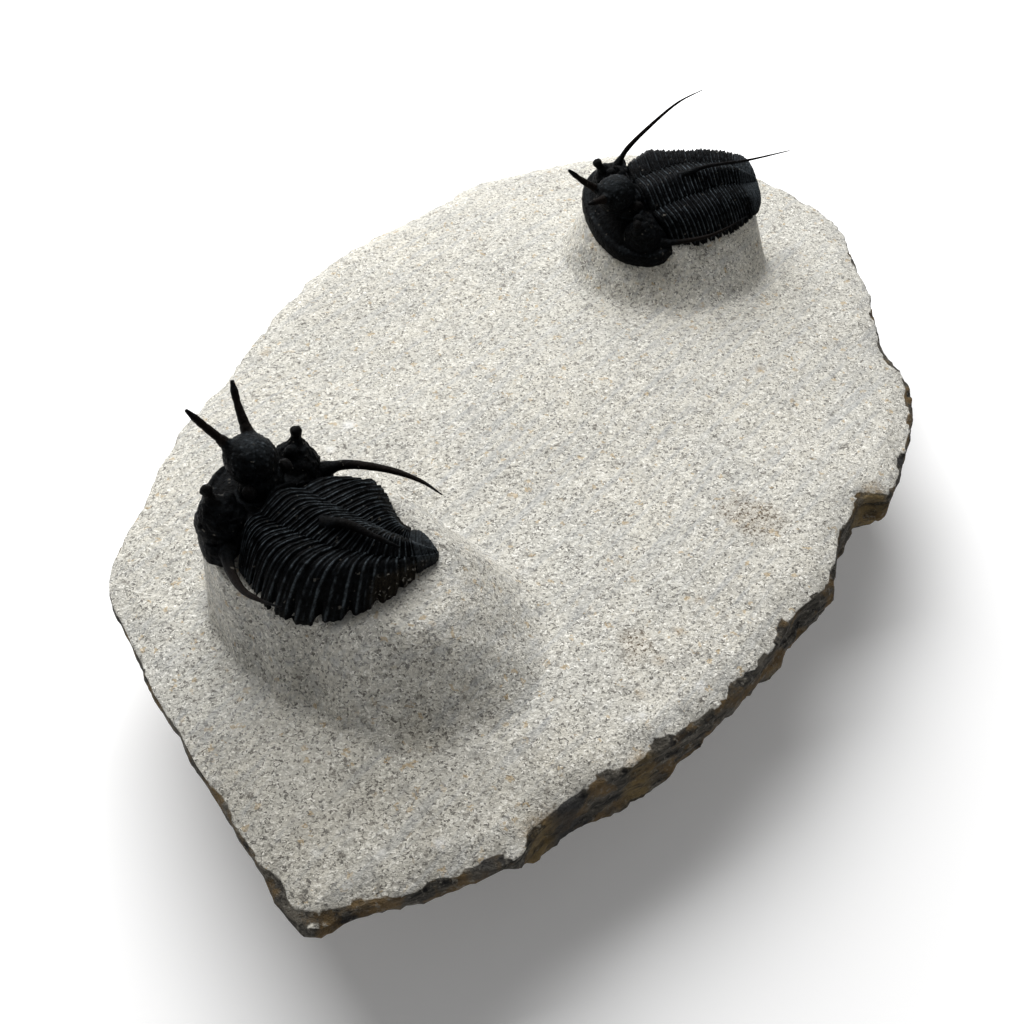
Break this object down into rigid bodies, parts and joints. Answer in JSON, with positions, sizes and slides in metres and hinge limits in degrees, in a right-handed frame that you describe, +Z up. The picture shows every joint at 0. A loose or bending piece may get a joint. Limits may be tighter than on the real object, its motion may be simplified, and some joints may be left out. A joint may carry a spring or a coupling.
{
  "type": "fossil trilobite pair on matrix",
  "caption": "Two long-spined black trilobites prepared on raised bosses of a pale limestone slab with a broken edge, undercut sides and a flat base.",
  "frame": {"origin": "middle of the object's outline, on the flat base that it rests on", "axes": "+Z up from the base, +Y along the slab's length from the front animal towards the back one, +X to the right of the picture"},
  "size_m": [0.0808, 0.1147, 0.036],
  "materials": {
    "limestone": "matt worked stone, darker and flaky on the broken edge",
    "shell": "satin black calcite"
  },
  "bodies": {
    "root": {"matrix": "limestone", "front_cephalon": "shell", "front_thorax": "shell", "front_pygidium": "shell", "back_cephalon": "shell", "back_thorax": "shell", "back_pygidium": "shell"}
  },
  "joints": []
}
